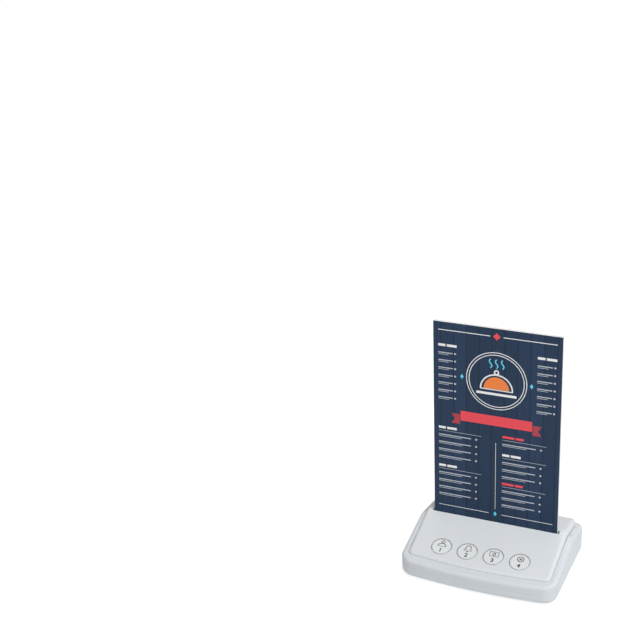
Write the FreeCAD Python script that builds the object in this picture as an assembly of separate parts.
"""Table call button: a sloping base with four round keys and an upright menu board in a slot.

Millimetres, +Z up, +X to the right, +Y to the back. The origin lies on the table, under the middle
of the base. The base is three mouldings: a bottom tray, a main housing with a sloping rim, and a
roof-shaped top cover inset in that rim. Each piece is one node, written to parts/NODE.step.
"""
import FreeCAD, Part
import math
import os
from collections import namedtuple
from FreeCAD import Placement, Rotation, Vector

# ---------------------------------------------------------------- driving sizes

# Base, seen from above at its parting line
BASE_WIDTH = 118.6
BASE_DEPTH = 89.0
FRONT_BOW = 4.0            # how far the middle of the front stands ahead of its ends
FRONT_CORNER_RADIUS = 11.0
REAR_CORNER_RADIUS = 7.5
WALL = 2.2                 # wall of the three mouldings
FIT_GAP = 0.2              # clearance of mouldings that slide or plug into each other
SHARPEST_CORNER = 0.3

# Base, seen from the side
FOOT_PROUD = 1.5           # feet below the tray
TRAY_HEIGHT = 8.5          # tray up to the parting line
BOTTOM_ROUND = 4.5
PARTING_CHAMFER = 0.12     # housing's lower edge, so that the parting line shows
LIP_HEIGHT = 1.5           # tray's lip inside the housing
LIP_INSET = 1.1

# Rim: two slopes that meet in a rounded crest
RIM_FRONT_HEIGHT = 15.5    # above the table, at the middle of the front
RIM_SLOPE = 12.8           # degrees
RIM_CREST_SETBACK = 2.0    # rim's crest behind the board's front face
RIM_BACK_SLOPE = 8.5       # degrees
RIM_ROUND = 2.8            # round on the rim's outer edge
CREST_RADIUS = 12.0
SHADOW_GAP = 0.3           # groove between rim and cover
GROOVE_DEPTH = 0.8
LEDGE_THICKNESS = 2.0      # ledge in the groove that carries the cover
LEDGE_OVERLAP = 1.2        # how far that ledge reaches under the cover
PRY_NOTCH_LENGTH = 4.0     # notch in the rim beside the groove, to open the cover
PRY_NOTCH_WIDTH = 1.6
PRY_NOTCH_SETBACK = 5.0    # behind the rim's crest

# Top cover
COVER_FRONT_INSET = 6.75   # from the base's front to the cover
COVER_SIDE_INSET = 4.9
COVER_REAR_INSET = 6.6
COVER_FRONT_CORNER = 4.0
COVER_REAR_CORNER = 3.4
COVER_EDGE_ROUND = 2.8
PANEL_FRONT_STEP = 0.85    # cover's front edge above the rim
PANEL_SLOPE = 17.4         # degrees
PANEL_BACK_SLOPE = 7.5     # degrees
PANEL_CREST_SETBACK = 3.5  # crest behind the board's front face

# Menu board and its slot
BOARD_SIDE_INSET = 11.5    # from the base's side to the board
BOARD_REAR_DISTANCE = 36.75  # from the board's front face to the base's rear
BOARD_HEIGHT = 176.0
BOARD_CORE_THICKNESS = 2.0
PRINT_THICKNESS = 0.2
SLOT_DEPTH = 18.0
SLOT_END_CLEARANCE = 1.5
SLOT_FRONT_CLEARANCE = 0.2
SLOT_RIB_HEIGHT = 0.7
SLOT_RIB_CLEARANCE = 0.1
SLOT_RIB_WIDTH = 2.0
SLOT_RIB_SPACING = 32.0
POCKET_WALL = 1.6

# Keys
KEY_COUNT = 4
KEY_PITCH = 20.0
KEY_ROW_CENTRE_X = -1.2    # the row stands slightly left of the middle
KEY_DIAMETER = 15.4
KEY_GAP = 0.2              # ring between key and panel
KEY_ROW_SETBACK = 14.7     # up the slope from the panel's front edge
KEY_EDGE_ROUND = 0.3
KEY_FLANGE_WIDTH = 1.1
KEY_FLANGE_THICKNESS = 1.0
KEY_FLANGE_CLEARANCE = 0.1
KEY_STEM_DIAMETER = 4.5

# Switches
SWITCH_SIZE = 6.0
SWITCH_HEIGHT = 3.5
PLUNGER_DIAMETER = 3.5
PLUNGER_PROUD = 1.5
PLUNGER_DEPTH = 1.2        # plunger inside the switch at rest
PLUNGER_CLEARANCE = 0.05
PLUNGER_BORE_SPARE = 0.6   # bore below the plunger, more than the key's travel
SWITCH_LEG = (1.0, 0.7, 0.3)

# Circuit board
CIRCUIT_SIDE_CLEARANCE = 0.9   # to the bosses of the case screws
CIRCUIT_FRONT_SETBACK = 2.85   # from the panel's front edge
CIRCUIT_THICKNESS = 1.6
CIRCUIT_DEPTH = 9.6        # its upper face below the panel
CIRCUIT_REAR_DISTANCE = 10.0
CIRCUIT_HOLE_EDGE = 2.6    # screw centres from its sides
CIRCUIT_HOLE_END = 3.0     # screw centres from its ends
CIRCUIT_BOSS_DIAMETER = 4.6
CIRCUIT_SCREW_DIAMETER = 1.9
CIRCUIT_SCREW_LENGTH = 4.0
CIRCUIT_SCREW_HEAD = (3.8, 1.3)

# Parts on the circuit board, in a row down the slope from its rear edge
COMPONENT_ROW = 5.0
CHIP_SIZE = (11.4, 7.5, 2.3)
CHIP_LEGS_PER_SIDE = 9
CHIP_LEG = (0.4, 1.0, 0.25)
CAN_SIZE = (11.0, 4.6, 3.5)
CAN_END_ROUND = 2.1
CAPACITOR_DIAMETER = 5.0
CAPACITOR_HEIGHT = 5.6
ANTENNA_RADIUS = 2.4
ANTENNA_WIRE = 0.8
ANTENNA_PITCH = 1.6
ANTENNA_TURNS = 12

# Case screws, from below into the cover
SCREW_SIDE_INSET = 13.55   # from the base's sides, front and rear
SCREW_FRONT_INSET = 24.5
SCREW_REAR_INSET = 23.5
SCREW_DIAMETER = 2.9
SCREW_LENGTH = 10.0
SCREW_HEAD = (5.6, 2.0)
SCREW_HEAD_POCKET = 3.0
SCREW_CLEARANCE = 0.05
COLUMN_DIAMETER = 8.8
COLUMN_HEIGHT = 6.0        # tray's columns above its underside
BOSS_DIAMETER = 6.6

# Feet
FOOT_DIAMETER = 9.0
FOOT_RECESS = 0.8
FOOT_SIDE_INSET = 13.75    # from the base's sides, front and rear
FOOT_FRONT_INSET = 13.0
FOOT_REAR_INSET = 11.5

# Cells and their contacts
CELL_DIAMETER = 10.5
CELL_LENGTH = 44.5
CELL_NUB_LENGTH = 1.0
CELL_NUB_DIAMETER = 3.8
CELL_EDGE_ROUND = 0.4
CELL_GAP = 0.5             # between the cells
CELL_CLEARANCE = 0.3       # cells to compartment
CONTACT_THICKNESS = 0.5
CONTACT_HEIGHT = 7.5
CONTACT_WIDTH = 8.0
CONTACT_TAB = (3.0, 2.0)   # reach through the wall, width
SPRING_LENGTH = 3.5
SPRING_WIRE = 0.7
SPRING_RADIUS = 2.6
SPRING_TURNS = 3
COMPARTMENT_SETBACK = 1.5  # behind the slot's pocket
COMPARTMENT_WALL = 1.5
COMPARTMENT_FLANGE = 4.0
COMPARTMENT_FLANGE_THICKNESS = 1.2

# Battery door
DOOR_SIDE_MARGIN = 3.0     # door beyond the cells' space
DOOR_END_MARGIN = 1.7      # the door's end wall beyond its plate
DOOR_END_HEIGHT = 7.0
TONGUE_WIDTH = 1.2
TONGUE_THICKNESS = 1.0
GRIP_GROOVES = 4
GRIP_GROOVE = (18.0, 1.0, 0.4)
GRIP_SPACING = 2.4

# Leads, from the contacts forward under the slot and up to the circuit board
LEAD_DIAMETER = 1.3
LEAD_SLOT_DROP = 2.54      # forward runs below the slot's pocket
LEAD_LANE_CLEARANCE = 1.65  # outer lead to the tray's columns
LEAD_LANE_SPACING = 3.0    # between the two leads
LEAD_RUN = 10.0            # length of a forward run
LEAD_BOARD_INSET = 9.0     # inner solder point from the circuit board's side
LEAD_BOARD_DISTANCE = 3.0  # solder points from the circuit board's rear edge
LEAD_BEND_SHARE = 0.45     # share of a run that a bend takes

# ---------------------------------------------------------------- levels and lines worked out

TOLERANCE = 1e-3
REACH = BASE_WIDTH + BASE_DEPTH + BOARD_HEIGHT   # longer than anything that is cut
BASE_FRONT = -BASE_DEPTH / 2
BASE_REAR = BASE_DEPTH / 2
FRONT_ARC_RADIUS = ((BASE_WIDTH / 2) ** 2 + FRONT_BOW ** 2) / (2 * FRONT_BOW)
FRONT_ARC_CENTRE_Y = BASE_FRONT + FRONT_ARC_RADIUS

TRAY_BOTTOM = FOOT_PROUD
FLOOR_TOP = TRAY_BOTTOM + WALL
PARTING = TRAY_BOTTOM + TRAY_HEIGHT
COLUMN_TOP = TRAY_BOTTOM + COLUMN_HEIGHT

BOARD_WIDTH = BASE_WIDTH - 2 * BOARD_SIDE_INSET
BOARD_FRONT_Y = BASE_REAR - BOARD_REAR_DISTANCE
BOARD_THICKNESS = BOARD_CORE_THICKNESS + 2 * PRINT_THICKNESS
SLOT_FRONT = BOARD_FRONT_Y - SLOT_FRONT_CLEARANCE
SLOT_REAR = BOARD_FRONT_Y + BOARD_THICKNESS + SLOT_RIB_CLEARANCE + SLOT_RIB_HEIGHT
SLOT_HALF_LENGTH = BOARD_WIDTH / 2 + SLOT_END_CLEARANCE

Roof = namedtuple("Roof", "crest_y crest_z front_slope back_slope")
RIM = Roof(
    BOARD_FRONT_Y + RIM_CREST_SETBACK,
    RIM_FRONT_HEIGHT + (BOARD_FRONT_Y + RIM_CREST_SETBACK - BASE_FRONT) * math.tan(math.radians(RIM_SLOPE)),
    math.radians(RIM_SLOPE),
    math.radians(RIM_BACK_SLOPE),
)
PANEL_FRONT_HEIGHT = RIM_FRONT_HEIGHT + COVER_FRONT_INSET * math.tan(RIM.front_slope) + PANEL_FRONT_STEP
PANEL_DEPTH = BOARD_FRONT_Y - BASE_FRONT - COVER_FRONT_INSET
PANEL_LENGTH = PANEL_DEPTH / math.cos(math.radians(PANEL_SLOPE))
PANEL_HEIGHT = PANEL_FRONT_HEIGHT + PANEL_DEPTH * math.tan(math.radians(PANEL_SLOPE))
PANEL = Roof(
    BOARD_FRONT_Y + PANEL_CREST_SETBACK,
    PANEL_HEIGHT + PANEL_CREST_SETBACK * math.tan(math.radians(PANEL_SLOPE)),
    math.radians(PANEL_SLOPE),
    math.radians(PANEL_BACK_SLOPE),
)
COVER_WALL_DROP = WALL / math.cos(PANEL.front_slope)
BOARD_FOOT = PANEL_HEIGHT - SLOT_DEPTH

# The panel's own frame: x across, y up the slope from the board's line, z out of the panel.
PANEL_FRAME = Placement(Vector(0, BOARD_FRONT_Y, PANEL_HEIGHT), Rotation(Vector(1, 0, 0), PANEL_SLOPE))
KEY_ROW_DISTANCE = PANEL_LENGTH - KEY_ROW_SETBACK
KEY_XS = [KEY_ROW_CENTRE_X + (index - (KEY_COUNT - 1) / 2) * KEY_PITCH for index in range(KEY_COUNT)]
FLANGE_DEPTH = WALL + KEY_FLANGE_CLEARANCE
PLUNGER_TOP_DEPTH = CIRCUIT_DEPTH - SWITCH_HEIGHT - PLUNGER_PROUD
CIRCUIT_UNDERSIDE_DEPTH = CIRCUIT_DEPTH + CIRCUIT_THICKNESS
COMPONENT_Y = -CIRCUIT_REAR_DISTANCE - COMPONENT_ROW
SCREW_X = BASE_WIDTH / 2 - SCREW_SIDE_INSET
CIRCUIT_WIDTH = 2 * (SCREW_X - BOSS_DIAMETER / 2 - CIRCUIT_SIDE_CLEARANCE)
CIRCUIT_LENGTH = PANEL_LENGTH - CIRCUIT_REAR_DISTANCE - CIRCUIT_FRONT_SETBACK

CELL_FRONT_Y = SLOT_REAR + POCKET_WALL + COMPARTMENT_SETBACK + COMPARTMENT_WALL + CELL_CLEARANCE
CELL_YS = [CELL_FRONT_Y + CELL_DIAMETER / 2 + index * (CELL_DIAMETER + CELL_GAP) for index in range(2)]
CELL_AXIS_Z = FLOOR_TOP + 2 * FIT_GAP + CELL_DIAMETER / 2
COMPARTMENT_HALF = (CELL_LENGTH + SPRING_LENGTH) / 2 + CONTACT_THICKNESS
COMPARTMENT_FRONT = CELL_FRONT_Y - CELL_CLEARANCE
COMPARTMENT_REAR = CELL_YS[-1] + CELL_DIAMETER / 2 + CELL_CLEARANCE
COMPARTMENT_TOP = CELL_AXIS_Z + CELL_DIAMETER / 2 + CELL_CLEARANCE

DOOR_HALF = COMPARTMENT_HALF + DOOR_SIDE_MARGIN
DOOR_FRONT = COMPARTMENT_FRONT - COMPARTMENT_WALL
DOOR_END_Y = COMPARTMENT_REAR + COMPARTMENT_WALL
TONGUE_TOP = FLOOR_TOP
TONGUE_BOTTOM = TONGUE_TOP - TONGUE_THICKNESS


# ---------------------------------------------------------------- shapes used by several pieces

def box(x_low, x_high, y_low, y_high, z_low, z_high):
    """Box between two corners."""
    return Part.makeBox(x_high - x_low, y_high - y_low, z_high - z_low, Vector(x_low, y_low, z_low))


def column(radius, x, y, z_low, z_high):
    """Upright cylinder."""
    return Part.makeCylinder(radius, z_high - z_low, Vector(x, y, z_low))


def inset_cylinder(radius, x, y, depth, bottom_depth):
    """Cylinder square to the panel, between two depths below it, in the panel's frame."""
    return Part.makeCylinder(radius, bottom_depth - depth, Vector(x, y, -bottom_depth))


def on_panel(shape):
    """The shape, moved from the panel's frame to the part's."""
    placed = shape.copy()
    placed.Placement = PANEL_FRAME.multiply(placed.Placement)
    return placed


def bowed_outline(half_width, front, rear, front_corner, rear_corner, height):
    """Closed wire with straight sides and back, a front that bows out, and round corners."""
    arc_radius = FRONT_ARC_CENTRE_Y - front
    corner_x = half_width - front_corner
    corner_y = FRONT_ARC_CENTRE_Y - math.sqrt((arc_radius - front_corner) ** 2 - corner_x ** 2)
    bow_angle = math.atan2(corner_x, FRONT_ARC_CENTRE_Y - corner_y)
    corner_angle = (bow_angle + math.pi / 2) / 2
    rear_mid = rear_corner * (1 - math.sqrt(0.5))

    def at(x, y):
        return Vector(x, y, height)

    bow_x = arc_radius * math.sin(bow_angle)
    bow_y = FRONT_ARC_CENTRE_Y - arc_radius * math.cos(bow_angle)
    mid_x = corner_x + front_corner * math.sin(corner_angle)
    mid_y = corner_y - front_corner * math.cos(corner_angle)
    edges = [
        Part.Arc(at(-bow_x, bow_y), at(0, front), at(bow_x, bow_y)),
        Part.Arc(at(bow_x, bow_y), at(mid_x, mid_y), at(half_width, corner_y)),
        Part.LineSegment(at(half_width, corner_y), at(half_width, rear - rear_corner)),
        Part.Arc(at(half_width, rear - rear_corner), at(half_width - rear_mid, rear - rear_mid),
                 at(half_width - rear_corner, rear)),
        Part.LineSegment(at(half_width - rear_corner, rear), at(rear_corner - half_width, rear)),
        Part.Arc(at(rear_corner - half_width, rear), at(rear_mid - half_width, rear - rear_mid),
                 at(-half_width, rear - rear_corner)),
        Part.LineSegment(at(-half_width, rear - rear_corner), at(-half_width, corner_y)),
        Part.Arc(at(-half_width, corner_y), at(-mid_x, mid_y), at(-bow_x, bow_y)),
    ]
    return Part.Wire([edge.toShape() for edge in edges])


def base_outline(inset, height):
    """The base's outline at one height, drawn in by inset."""
    return bowed_outline(BASE_WIDTH / 2 - inset, BASE_FRONT + inset, BASE_REAR - inset,
                         FRONT_CORNER_RADIUS - inset, REAR_CORNER_RADIUS - inset, height)


def cover_outline(inset, height):
    """The top cover's outline, drawn in by inset, or let out where inset is negative."""
    return bowed_outline(BASE_WIDTH / 2 - COVER_SIDE_INSET - inset,
                         BASE_FRONT + COVER_FRONT_INSET + inset,
                         BASE_REAR - COVER_REAR_INSET - inset,
                         max(COVER_FRONT_CORNER - inset, SHARPEST_CORNER),
                         max(COVER_REAR_CORNER - inset, SHARPEST_CORNER), height)


def prism(outline, inset, bottom, top):
    """Upright solid on one of the outlines."""
    return Part.Face(outline(inset, bottom)).extrude(Vector(0, 0, top - bottom))


def under_roof(roof, drop):
    """Everything below a roof's two slopes and rounded crest, moved down by drop."""
    crest = Vector(0, roof.crest_y, roof.crest_z - drop)
    tangent = CREST_RADIUS * math.tan((roof.front_slope + roof.back_slope) / 2)
    uphill = Vector(0, math.cos(roof.front_slope), math.sin(roof.front_slope))
    downhill = Vector(0, math.cos(roof.back_slope), -math.sin(roof.back_slope))
    tilt = (roof.front_slope - roof.back_slope) / 2
    arc_start = crest - uphill * tangent
    arc_end = crest + downhill * tangent
    centre = arc_start + Vector(0, math.sin(roof.front_slope), -math.cos(roof.front_slope)) * CREST_RADIUS
    arc_top = centre + Vector(0, -math.sin(tilt), math.cos(tilt)) * CREST_RADIUS
    front_end = crest - uphill * REACH
    back_end = crest + downhill * REACH
    front_foot = Vector(0, front_end.y, -REACH)
    back_foot = Vector(0, back_end.y, -REACH)
    profile = Part.Wire([
        Part.LineSegment(front_end, arc_start).toShape(),
        Part.Arc(arc_start, arc_top, arc_end).toShape(),
        Part.LineSegment(arc_end, back_end).toShape(),
        Part.LineSegment(back_end, back_foot).toShape(),
        Part.LineSegment(back_foot, front_foot).toShape(),
        Part.LineSegment(front_foot, front_end).toShape(),
    ])
    profile.translate(Vector(-REACH, 0, 0))
    return Part.Face(profile).extrude(Vector(2 * REACH, 0, 0))


def roof_height(roof, y):
    """Height of a roof's slopes at y, without the crest's rounding."""
    if y < roof.crest_y:
        return roof.crest_z - (roof.crest_y - y) * math.tan(roof.front_slope)
    return roof.crest_z - (y - roof.crest_y) * math.tan(roof.back_slope)


def edges_at_height(shape, height):
    """Edges that lie at one height."""
    chosen = []
    for edge in shape.Edges:
        middle = edge.valueAt((edge.FirstParameter + edge.LastParameter) / 2)
        if max(abs(point.z - height) for point in (edge.Vertexes[0].Point, middle)) < TOLERANCE:
            chosen.append(edge)
    return chosen


def roof_outline_edges(form, roof):
    """Edges where a roof meets the upright walls, without the smooth lines across it."""
    rounding = CREST_RADIUS / math.cos((roof.front_slope + roof.back_slope) / 2) - CREST_RADIUS
    chosen = []
    for edge in form.Edges:
        first = edge.Vertexes[0].Point
        last = edge.Vertexes[-1].Point
        drops = [roof_height(roof, point.y) - point.z for point in (first, last)]
        on_roof = min(drops) > -TOLERANCE and max(drops) < rounding + TOLERANCE
        smooth = abs(first.y - last.y) < TOLERANCE and abs(first.y - roof.crest_y) < CREST_RADIUS
        if on_roof and not smooth:
            chosen.append(edge)
    return chosen


def coil(radius, pitch, turns, wire):
    """Helical spring along +Z, its wire's centre line starting at the origin's level."""
    helix = Part.makeHelix(pitch, pitch * turns, radius)
    first = helix.Edges[0]
    section = Part.makeCircle(wire / 2, helix.Vertexes[0].Point, first.tangentAt(first.FirstParameter))
    return Part.Wire(helix.Edges).makePipeShell([Part.Wire(section)], True, True)


def write(name, shape):
    """One piece to its own file."""
    shape.exportStep(os.path.join("parts", name + ".step"))


# ---------------------------------------------------------------- bottom tray and battery door

def tray_form():
    """Solid outer form of the tray, with its rounded lower edge."""
    form = prism(base_outline, 0, TRAY_BOTTOM, PARTING)
    return form.makeFillet(BOTTOM_ROUND, edges_at_height(form, TRAY_BOTTOM))


def tray_shell():
    """The tray's floor and wall, without any fittings."""
    hollow = prism(base_outline, WALL, FLOOR_TOP, PARTING + WALL)
    hollow = hollow.makeFillet(BOTTOM_ROUND - WALL, edges_at_height(hollow, FLOOR_TOP))
    return tray_form().cut(hollow)


def door_space(gap):
    """Room that the door takes in the tray, grown by a gap on its free sides."""
    plate = box(-DOOR_HALF - gap, DOOR_HALF + gap, DOOR_FRONT - gap, BASE_REAR,
                TRAY_BOTTOM, FLOOR_TOP + gap)
    end_half = DOOR_HALF + DOOR_END_MARGIN + gap
    end_wall = box(-end_half, end_half, DOOR_END_Y - gap, REACH, 0, TRAY_BOTTOM + DOOR_END_HEIGHT + gap)
    tongue_half = DOOR_HALF + TONGUE_WIDTH + gap
    tongues = box(-tongue_half, tongue_half, DOOR_FRONT - gap, BASE_REAR,
                  TONGUE_BOTTOM - gap, TONGUE_TOP + gap)
    return plate.fuse([end_wall, tongues])


def battery_door():
    door = tray_shell().common(door_space(0))
    length, width, depth = GRIP_GROOVE
    for index in range(GRIP_GROOVES):
        start = DOOR_FRONT + GRIP_SPACING * (index + 1)
        door = door.cut(box(-length / 2, length / 2, start, start + width,
                            TRAY_BOTTOM - depth, TRAY_BOTTOM + depth))
    return door


def foot_sites():
    """Name and centre of each foot."""
    sites = []
    x = BASE_WIDTH / 2 - FOOT_SIDE_INSET
    for row, y in (("front", BASE_FRONT + FOOT_FRONT_INSET), ("rear", BASE_REAR - FOOT_REAR_INSET)):
        sites.append(("foot_" + row + "_left", -x, y))
        sites.append(("foot_" + row + "_right", x, y))
    return sites


def screw_sites():
    rows = (BASE_FRONT + SCREW_FRONT_INSET, BASE_REAR - SCREW_REAR_INSET)
    return [(x, y) for y in rows for x in (-SCREW_X, SCREW_X)]


def compartment():
    """Walls and roof over the cells, with the flange that carries them on the tray's floor."""
    half = COMPARTMENT_HALF + COMPARTMENT_WALL
    front = COMPARTMENT_FRONT - COMPARTMENT_WALL
    rear = COMPARTMENT_REAR + COMPARTMENT_WALL
    walls = box(-half, half, front, rear, FLOOR_TOP, COMPARTMENT_TOP + COMPARTMENT_WALL)
    flange_half = half + COMPARTMENT_FLANGE
    flange = box(-flange_half, flange_half, front - FIT_GAP - WALL, rear,
                 FLOOR_TOP, FLOOR_TOP + FIT_GAP + COMPARTMENT_FLANGE_THICKNESS)
    cells = box(-COMPARTMENT_HALF, COMPARTMENT_HALF, COMPARTMENT_FRONT, COMPARTMENT_REAR,
                TRAY_BOTTOM, COMPARTMENT_TOP)
    solid = walls.fuse(flange).cut(cells)
    width = CONTACT_TAB[1]
    for y in CELL_YS:
        solid = solid.cut(box(COMPARTMENT_HALF - FIT_GAP, half + FIT_GAP,
                              y - width / 2 - FIT_GAP, y + width / 2 + FIT_GAP,
                              CELL_AXIS_Z - CONTACT_THICKNESS / 2 - FIT_GAP,
                              CELL_AXIS_Z + CONTACT_THICKNESS / 2 + FIT_GAP))
    return solid


def bottom_tray():
    lip = prism(base_outline, LIP_INSET, PARTING - LIP_INSET, PARTING + LIP_HEIGHT)
    lip = lip.cut(prism(base_outline, WALL, TRAY_BOTTOM, PARTING + LIP_HEIGHT + WALL))
    tray = tray_shell().fuse([lip, compartment()])
    for x, y in screw_sites():
        tray = tray.fuse(column(COLUMN_DIAMETER / 2, x, y, TRAY_BOTTOM + WALL / 2, COLUMN_TOP))
    tray = tray.cut(door_space(FIT_GAP))
    head_diameter = SCREW_HEAD[0]
    for x, y in screw_sites():
        hole = column(SCREW_DIAMETER / 2 + FIT_GAP, x, y, 0, COLUMN_TOP + WALL)
        pocket = column(head_diameter / 2 + FIT_GAP, x, y, 0, TRAY_BOTTOM + SCREW_HEAD_POCKET)
        tray = tray.cut([hole, pocket])
    for name, x, y in foot_sites():
        tray = tray.cut(column(FOOT_DIAMETER / 2 + FIT_GAP / 2, x, y, 0, TRAY_BOTTOM + FOOT_RECESS))
    return tray


def foot(x, y):
    return column(FOOT_DIAMETER / 2, x, y, 0, TRAY_BOTTOM + FOOT_RECESS)


# ---------------------------------------------------------------- main housing

def main_housing():
    top = RIM.crest_z
    form = prism(base_outline, 0, PARTING, top).common(under_roof(RIM, 0))
    form = form.makeFillet(RIM_ROUND, roof_outline_edges(form, RIM))
    form = form.makeChamfer(PARTING_CHAMFER, edges_at_height(form, PARTING))
    hollow = prism(base_outline, WALL, PARTING - WALL, top)
    hollow = hollow.common(under_roof(RIM, GROOVE_DEPTH + LEDGE_THICKNESS))
    above_ledge = prism(cover_outline, -SHADOW_GAP, PARTING, top).cut(under_roof(RIM, GROOVE_DEPTH))
    window = prism(cover_outline, LEDGE_OVERLAP, PARTING, top)
    lip_space = prism(base_outline, LIP_INSET - FIT_GAP / 2, PARTING - WALL, PARTING + LIP_HEIGHT + FIT_GAP)
    cuts = [hollow, above_ledge, window, lip_space]
    inner = BASE_WIDTH / 2 - COVER_SIDE_INSET + SHADOW_GAP / 2
    outer = inner + SHADOW_GAP / 2 + PRY_NOTCH_WIDTH
    notch_front = RIM.crest_y + PRY_NOTCH_SETBACK
    notch_rear = notch_front + PRY_NOTCH_LENGTH
    notch_floor = roof_height(RIM, notch_rear) - GROOVE_DEPTH
    cuts.append(box(inner, outer, notch_front, notch_rear, notch_floor, top))
    cuts.append(box(-outer, -inner, notch_front, notch_rear, notch_floor, top))
    return form.cut(cuts)


# ---------------------------------------------------------------- top cover

def circuit_screw_sites():
    """Screw centres of the circuit board, in the panel's frame."""
    x = CIRCUIT_WIDTH / 2 - CIRCUIT_HOLE_EDGE
    rear = -CIRCUIT_REAR_DISTANCE - CIRCUIT_HOLE_END
    front = -CIRCUIT_REAR_DISTANCE - CIRCUIT_LENGTH + CIRCUIT_HOLE_END
    return [(sign * x, y) for y in (front, rear) for sign in (-1, 1)]


def top_cover():
    top = PANEL.crest_z + WALL
    form = prism(cover_outline, 0, PARTING, top).common(under_roof(PANEL, 0))
    form = form.makeFillet(COVER_EDGE_ROUND, roof_outline_edges(form, PANEL))
    hollow = prism(cover_outline, WALL, PARTING - WALL, top).common(under_roof(PANEL, COVER_WALL_DROP))
    cover = form.cut([hollow, under_roof(RIM, GROOVE_DEPTH)])

    inside = under_roof(PANEL, WALL / 2)
    pocket = box(-SLOT_HALF_LENGTH - POCKET_WALL, SLOT_HALF_LENGTH + POCKET_WALL,
                 SLOT_FRONT - POCKET_WALL, SLOT_REAR + POCKET_WALL, BOARD_FOOT - POCKET_WALL, top)
    fittings = [pocket.common(inside)]
    for x, y in screw_sites():
        fittings.append(column(BOSS_DIAMETER / 2, x, y, COLUMN_TOP, top).common(inside))
    for x, y in circuit_screw_sites():
        fittings.append(on_panel(inset_cylinder(CIRCUIT_BOSS_DIAMETER / 2, x, y, WALL / 2, CIRCUIT_DEPTH)))
    cover = cover.fuse(fittings)

    slot = box(-SLOT_HALF_LENGTH, SLOT_HALF_LENGTH, SLOT_FRONT, SLOT_REAR, BOARD_FOOT, top)
    for x in (-SLOT_RIB_SPACING, 0, SLOT_RIB_SPACING):
        slot = slot.cut(box(x - SLOT_RIB_WIDTH / 2, x + SLOT_RIB_WIDTH / 2,
                            SLOT_REAR - SLOT_RIB_HEIGHT, SLOT_REAR, BOARD_FOOT, PANEL_HEIGHT - WALL))
    holes = [slot]
    key_hole_radius = KEY_DIAMETER / 2 + KEY_GAP
    for x in KEY_XS:
        holes.append(on_panel(inset_cylinder(key_hole_radius, x, -KEY_ROW_DISTANCE, -WALL, 2 * WALL)))
    for x, y in circuit_screw_sites():
        bottom = CIRCUIT_UNDERSIDE_DEPTH
        holes.append(on_panel(inset_cylinder(CIRCUIT_SCREW_DIAMETER / 2 + SCREW_CLEARANCE, x, y,
                                             bottom - CIRCUIT_SCREW_LENGTH - SCREW_CLEARANCE, bottom)))
    screw_end = TRAY_BOTTOM + SCREW_HEAD_POCKET + SCREW_LENGTH + SCREW_CLEARANCE
    for x, y in screw_sites():
        holes.append(column(SCREW_DIAMETER / 2 + SCREW_CLEARANCE, x, y, 0, screw_end))
    return cover.cut(holes)


# ---------------------------------------------------------------- keys and switches

def key_cap(x):
    y = -KEY_ROW_DISTANCE
    cap = inset_cylinder(KEY_DIAMETER / 2, x, y, 0, FLANGE_DEPTH)
    cap = cap.makeFillet(KEY_EDGE_ROUND, edges_at_height(cap, 0))
    flange = inset_cylinder(KEY_DIAMETER / 2 + KEY_FLANGE_WIDTH, x, y,
                            FLANGE_DEPTH, FLANGE_DEPTH + KEY_FLANGE_THICKNESS)
    stem = inset_cylinder(KEY_STEM_DIAMETER / 2, x, y, FLANGE_DEPTH, PLUNGER_TOP_DEPTH)
    return on_panel(cap.fuse([flange, stem]))


def switch_plunger(x):
    bottom = PLUNGER_TOP_DEPTH + PLUNGER_PROUD + PLUNGER_DEPTH
    return on_panel(inset_cylinder(PLUNGER_DIAMETER / 2, x, -KEY_ROW_DISTANCE, PLUNGER_TOP_DEPTH, bottom))


def switch_body(x):
    y = -KEY_ROW_DISTANCE
    half = SWITCH_SIZE / 2
    body = box(x - half, x + half, y - half, y + half, -CIRCUIT_DEPTH, -CIRCUIT_DEPTH + SWITCH_HEIGHT)
    bore_top = PLUNGER_TOP_DEPTH + PLUNGER_PROUD
    bore = inset_cylinder(PLUNGER_DIAMETER / 2 + PLUNGER_CLEARANCE, x, y,
                          bore_top, bore_top + PLUNGER_DEPTH + PLUNGER_BORE_SPARE)
    body = body.cut(bore)
    reach, width, thickness = SWITCH_LEG
    legs = []
    for side in (-1, 1):
        for end in (-1, 1):
            low = x + side * half - (reach if side < 0 else 0)
            leg_y = y + end * (half - width)
            legs.append(box(low, low + reach, leg_y - width / 2, leg_y + width / 2,
                            -CIRCUIT_DEPTH, -CIRCUIT_DEPTH + thickness))
    return on_panel(body.fuse(legs))


# ---------------------------------------------------------------- circuit board and its parts

def circuit_board():
    half = CIRCUIT_WIDTH / 2
    board = box(-half, half, -CIRCUIT_REAR_DISTANCE - CIRCUIT_LENGTH, -CIRCUIT_REAR_DISTANCE,
                -CIRCUIT_UNDERSIDE_DEPTH, -CIRCUIT_DEPTH)
    for x, y in circuit_screw_sites():
        board = board.cut(inset_cylinder(CIRCUIT_SCREW_DIAMETER / 2 + FIT_GAP, x, y,
                                         CIRCUIT_DEPTH - WALL, CIRCUIT_UNDERSIDE_DEPTH + WALL))
    return on_panel(board)


def board_screws():
    """Four screws that hold the circuit board to the cover."""
    head_diameter, head_height = CIRCUIT_SCREW_HEAD
    screws = []
    for x, y in circuit_screw_sites():
        shank = inset_cylinder(CIRCUIT_SCREW_DIAMETER / 2, x, y,
                               CIRCUIT_UNDERSIDE_DEPTH - CIRCUIT_SCREW_LENGTH, CIRCUIT_UNDERSIDE_DEPTH)
        head = inset_cylinder(head_diameter / 2, x, y,
                              CIRCUIT_UNDERSIDE_DEPTH, CIRCUIT_UNDERSIDE_DEPTH + head_height)
        screws.append(on_panel(shank.fuse(head)))
    return Part.makeCompound(screws)


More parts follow.
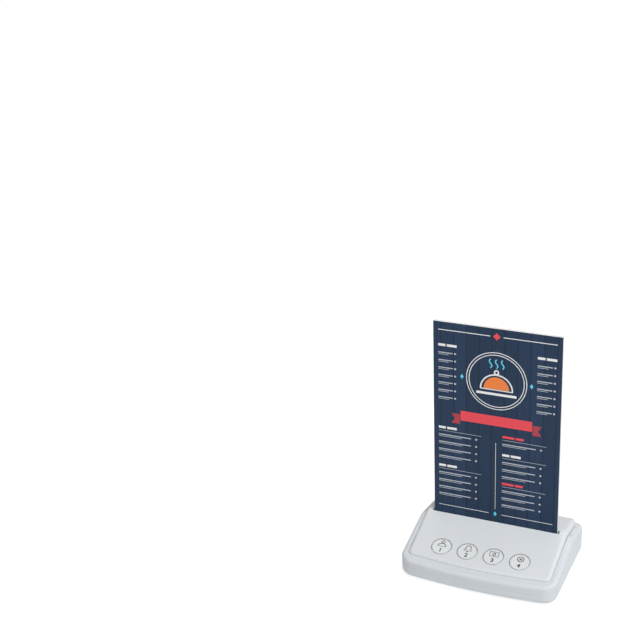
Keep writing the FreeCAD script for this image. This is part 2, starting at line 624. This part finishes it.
def encoder_chip():
    """Chip between the two middle switches."""
    length, width, height = CHIP_SIZE
    leg_width, leg_reach, leg_thickness = CHIP_LEG
    level = -CIRCUIT_DEPTH
    low_y = COMPONENT_Y - width / 2
    low_x = KEY_ROW_CENTRE_X - length / 2
    body = box(low_x, low_x + length, low_y, low_y + width, level, level + height)
    pitch = length / CHIP_LEGS_PER_SIDE
    legs = []
    for index in range(CHIP_LEGS_PER_SIDE):
        x = low_x + pitch * (index + 0.5)
        for y in (low_y - leg_reach, low_y + width):
            legs.append(box(x - leg_width / 2, x + leg_width / 2, y, y + leg_reach,
                            level, level + leg_thickness))
    return on_panel(body.fuse(legs))


def crystal_can():
    """Flat can between the two switches at the right."""
    length, width, height = CAN_SIZE
    centre_x = (KEY_XS[-2] + KEY_XS[-1]) / 2
    can = box(centre_x - length / 2, centre_x + length / 2,
              COMPONENT_Y - width / 2, COMPONENT_Y + width / 2, -CIRCUIT_DEPTH, -CIRCUIT_DEPTH + height)
    corners = [edge for edge in can.Edges if len(set(round(v.Point.z, 3) for v in edge.Vertexes)) == 2]
    return on_panel(can.makeFillet(CAN_END_ROUND, corners))


def board_capacitor():
    return on_panel(inset_cylinder(CAPACITOR_DIAMETER / 2, KEY_XS[-1], COMPONENT_Y,
                                   CIRCUIT_DEPTH - CAPACITOR_HEIGHT, CIRCUIT_DEPTH))


def spring_antenna():
    """Coil that lies between the two switches at the left."""
    spring = coil(ANTENNA_RADIUS, ANTENNA_PITCH, ANTENNA_TURNS, ANTENNA_WIRE)
    length = ANTENNA_PITCH * ANTENNA_TURNS
    spring.rotate(Vector(0, 0, 0), Vector(0, 1, 0), 90)
    spring.translate(Vector((KEY_XS[0] + KEY_XS[1] - length) / 2, COMPONENT_Y,
                            -CIRCUIT_DEPTH + ANTENNA_RADIUS + ANTENNA_WIRE / 2))
    return on_panel(spring)


# ---------------------------------------------------------------- case screws

def case_screws():
    """Four screws from below, through the tray's columns into the cover's bosses."""
    head_diameter, head_height = SCREW_HEAD
    seat = TRAY_BOTTOM + SCREW_HEAD_POCKET
    screws = []
    for x, y in screw_sites():
        shank = column(SCREW_DIAMETER / 2, x, y, seat, seat + SCREW_LENGTH)
        head = column(head_diameter / 2, x, y, seat - head_height, seat)
        screws.append(shank.fuse(head))
    return Part.makeCompound(screws)


# ---------------------------------------------------------------- cells, contacts and leads

def battery_cell(index):
    """One cell. The first has its nub to the right, the second to the left."""
    body_length = CELL_LENGTH - CELL_NUB_LENGTH
    body = Part.makeCylinder(CELL_DIAMETER / 2, body_length)
    body = body.makeFillet(CELL_EDGE_ROUND, [edge for edge in body.Edges if edge.Closed])
    nub = Part.makeCylinder(CELL_NUB_DIAMETER / 2, CELL_NUB_LENGTH, Vector(0, 0, body_length))
    cell = body.fuse(nub)
    direction = 1 if index == 0 else -1
    cell.rotate(Vector(0, 0, 0), Vector(0, 1, 0), 90 * direction)
    start = -COMPARTMENT_HALF + CONTACT_THICKNESS + SPRING_LENGTH
    cell.translate(Vector(start * direction, CELL_YS[index], CELL_AXIS_Z))
    return cell


def contact_spring(index):
    """Spring at a cell's flat end."""
    rise = SPRING_LENGTH - SPRING_WIRE
    spring = coil(SPRING_RADIUS, rise / SPRING_TURNS, SPRING_TURNS, SPRING_WIRE)
    direction = 1 if index == 0 else -1
    spring.rotate(Vector(0, 0, 0), Vector(0, 1, 0), 90 * direction)
    start = -COMPARTMENT_HALF + CONTACT_THICKNESS + SPRING_WIRE / 2
    spring.translate(Vector(start * direction, CELL_YS[index], CELL_AXIS_Z))
    return spring


def contact_plate(x_low, y_low, y_high):
    return box(x_low, x_low + CONTACT_THICKNESS, y_low, y_high,
               CELL_AXIS_Z - CONTACT_HEIGHT / 2, CELL_AXIS_Z + CONTACT_HEIGHT / 2)


def contact_link():
    """Plate at the left that joins both cells."""
    return contact_plate(-COMPARTMENT_HALF, CELL_YS[0] - CONTACT_WIDTH / 2, CELL_YS[1] + CONTACT_WIDTH / 2)


def contact_terminal(index):
    """Plate at the right with a tab through the compartment's wall."""
    y = CELL_YS[index]
    plate = contact_plate(COMPARTMENT_HALF - CONTACT_THICKNESS, y - CONTACT_WIDTH / 2, y + CONTACT_WIDTH / 2)
    reach, width = CONTACT_TAB
    tab = box(COMPARTMENT_HALF - CONTACT_THICKNESS, COMPARTMENT_HALF + reach, y - width / 2, y + width / 2,
              CELL_AXIS_Z - CONTACT_THICKNESS / 2, CELL_AXIS_Z + CONTACT_THICKNESS / 2)
    return plate.fuse(tab)


def lead(points):
    """Insulated wire along straight runs joined by tangent arcs."""
    edges = []
    start = points[0]
    for index in range(1, len(points) - 1):
        corner = points[index]
        before = points[index - 1] - corner
        after = points[index + 1] - corner
        length_before = before.Length
        length_after = after.Length
        before = before.normalize()
        after = after.normalize()
        setback = LEAD_BEND_SHARE * min(length_before, length_after)
        arc_start = corner + before * setback
        arc_end = corner + after * setback
        bisector = (before + after).normalize()
        half_turn = (math.pi - before.getAngle(after)) / 2
        radius = setback / math.tan(half_turn)
        print("lead bend radius", round(radius, 2))
        arc_middle = corner + bisector * (radius / math.cos(half_turn) - radius)
        edges.append(Part.LineSegment(start, arc_start).toShape())
        edges.append(Part.Arc(arc_start, arc_middle, arc_end).toShape())
        start = arc_end
    edges.append(Part.LineSegment(start, points[-1]).toShape())
    path = Part.Wire(edges)
    section = Part.Wire(Part.makeCircle(LEAD_DIAMETER / 2, points[0], points[1] - points[0]))
    return path.makePipeShell([section], True, True)


def battery_lead(index):
    """Lead of one cell: out of the tab, forward below the slot, then square up to the circuit board."""
    start = Vector(COMPARTMENT_HALF + CONTACT_TAB[0], CELL_YS[index], CELL_AXIS_Z)
    outer_lane_x = SCREW_X - COLUMN_DIAMETER / 2 - LEAD_LANE_CLEARANCE - LEAD_DIAMETER / 2
    lane_x = outer_lane_x - (1 - index) * LEAD_LANE_SPACING
    board_x = CIRCUIT_WIDTH / 2 - LEAD_BOARD_INSET + index * LEAD_LANE_SPACING
    distance = CIRCUIT_REAR_DISTANCE + LEAD_BOARD_DISTANCE
    level = BOARD_FOOT - POCKET_WALL - LEAD_SLOT_DROP
    end = PANEL_FRAME.multVec(Vector(board_x, -distance, -CIRCUIT_UNDERSIDE_DEPTH))
    rise = (end.z - level) / math.cos(PANEL.front_slope)
    turn = PANEL_FRAME.multVec(Vector(board_x, -distance, -CIRCUIT_UNDERSIDE_DEPTH - rise))
    points = [start, Vector(lane_x, start.y, level)]
    runs = round((start.y - turn.y) / LEAD_RUN)
    for step in range(1, runs):
        share = step / runs
        x = lane_x + (board_x - lane_x) * share ** 2
        points.append(Vector(x, start.y + (turn.y - start.y) * share, level))
    return lead(points + [turn, end])


# ---------------------------------------------------------------- menu board

def board_sheet(front, thickness):
    return box(-BOARD_WIDTH / 2, BOARD_WIDTH / 2, front, front + thickness,
               BOARD_FOOT, BOARD_FOOT + BOARD_HEIGHT)


# ---------------------------------------------------------------- all pieces

def main():
    os.makedirs("parts", exist_ok=True)
    write("bottom_tray", bottom_tray())
    write("battery_door", battery_door())
    write("main_housing", main_housing())
    write("top_cover", top_cover())
    for name, x, y in foot_sites():
        write(name, foot(x, y))
    for number, x in enumerate(KEY_XS, 1):
        write("key_cap_" + str(number), key_cap(x))
        write("switch_plunger_" + str(number), switch_plunger(x))
        write("switch_body_" + str(number), switch_body(x))
    write("circuit_board", circuit_board())
    write("board_screws", board_screws())
    write("encoder_chip", encoder_chip())
    write("crystal_can", crystal_can())
    write("board_capacitor", board_capacitor())
    write("spring_antenna", spring_antenna())
    write("case_screws", case_screws())
    for index in (0, 1):
        write("battery_cell_" + str(index + 1), battery_cell(index))
        write("contact_spring_" + str(index + 1), contact_spring(index))
    write("contact_link", contact_link())
    write("contact_positive", contact_terminal(0))
    write("contact_negative", contact_terminal(1))
    write("battery_lead_red", battery_lead(0))
    write("battery_lead_black", battery_lead(1))
    write("menu_print_front", board_sheet(BOARD_FRONT_Y, PRINT_THICKNESS))
    write("menu_board_core", board_sheet(BOARD_FRONT_Y + PRINT_THICKNESS, BOARD_CORE_THICKNESS))
    write("menu_print_back", board_sheet(BOARD_FRONT_Y + PRINT_THICKNESS + BOARD_CORE_THICKNESS,
                                         PRINT_THICKNESS))


main()
